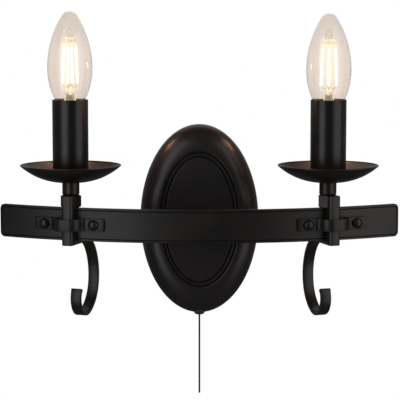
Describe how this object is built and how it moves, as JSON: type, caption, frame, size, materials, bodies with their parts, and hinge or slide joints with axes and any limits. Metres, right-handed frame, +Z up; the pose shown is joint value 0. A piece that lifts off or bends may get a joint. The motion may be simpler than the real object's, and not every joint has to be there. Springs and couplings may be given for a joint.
{
  "type": "double arm wall sconce",
  "caption": "Wall light with a curved flat band on an oval plate, candle arms with dishes and scrolls clamped to the band, and a pull cord.",
  "frame": {"origin": "middle of the wall bracket's back face, on the wall", "axes": "+X to the right seen from the room, +Y into the wall, +Z up"},
  "size_m": [0.3184, 0.0945, 0.3122],
  "materials": {
    "satin_black": "satin black powder coat, very slightly brown",
    "zinc_steel": "bright zinc plate",
    "brass": "plain turned brass",
    "nickel": "nickel-plated lamp cap",
    "clear_glass": "clear thin glass",
    "led_filament": "phosphor-coated LED stick, lit",
    "phenolic": "black moulded lampholder",
    "white_nylon": "natural white moulding",
    "black_plastic": "black moulding",
    "black_cord": "braided black cord"
  },
  "bodies": {
    "lamp": {"arm_scroll_left": "satin_black", "arm_scroll_right": "satin_black", "backplate": "satin_black", "bracket_studs": "zinc_steel", "bulb_cap_left": "nickel", "bulb_cap_right": "nickel", "bulb_filaments_left": "led_filament", "bulb_filaments_right": "led_filament", "bulb_glass_left": "clear_glass", "bulb_glass_right": "clear_glass", "bulb_stem_left": "clear_glass", "bulb_stem_right": "clear_glass", "candle_tube_left": "satin_black", "candle_tube_right": "satin_black", "centre_boss": "satin_black", "centre_contact_left": "brass", "centre_contact_right": "brass", "centre_nipple": "zinc_steel", "centre_nut": "zinc_steel", "clip_bolts_left": "satin_black", "clip_bolts_right": "satin_black", "clip_nuts_left": "zinc_steel", "clip_nuts_right": "zinc_steel", "cord_outlet_bush": "black_plastic", "curved_band": "satin_black", "drip_pan_left": "satin_black", "drip_pan_right": "satin_black", "earth_screw": "brass", "hex_nut_left": "satin_black", "hex_nut_right": "satin_black", "lampholder_left": "phenolic", "lampholder_right": "phenolic", "lampholder_shell_left": "brass", "lampholder_shell_right": "brass", "nipple_left": "zinc_steel", "nipple_right": "zinc_steel", "pan_nut_left": "zinc_steel", "pan_nut_right": "zinc_steel", "plate_nuts": "satin_black", "pull_switch": "black_plastic", "saddle_clip_left": "satin_black", "saddle_clip_right": "satin_black", "stem_left": "satin_black", "stem_right": "satin_black", "terminal_block": "white_nylon", "terminal_fixing_screw": "zinc_steel", "terminal_screws": "brass", "wall_bracket": "zinc_steel"},
    "pull": {"pull_plunger": "black_plastic", "pull_cord": "black_cord"}
  },
  "joints": [
    {"name": "cord_pull", "type": "slide", "parent": "lamp", "child": "pull", "axis": [0, 0, -1], "range_m": [0, 0.008], "stiffness_N_per_m": 250, "springref_m": -0.004}
  ]
}
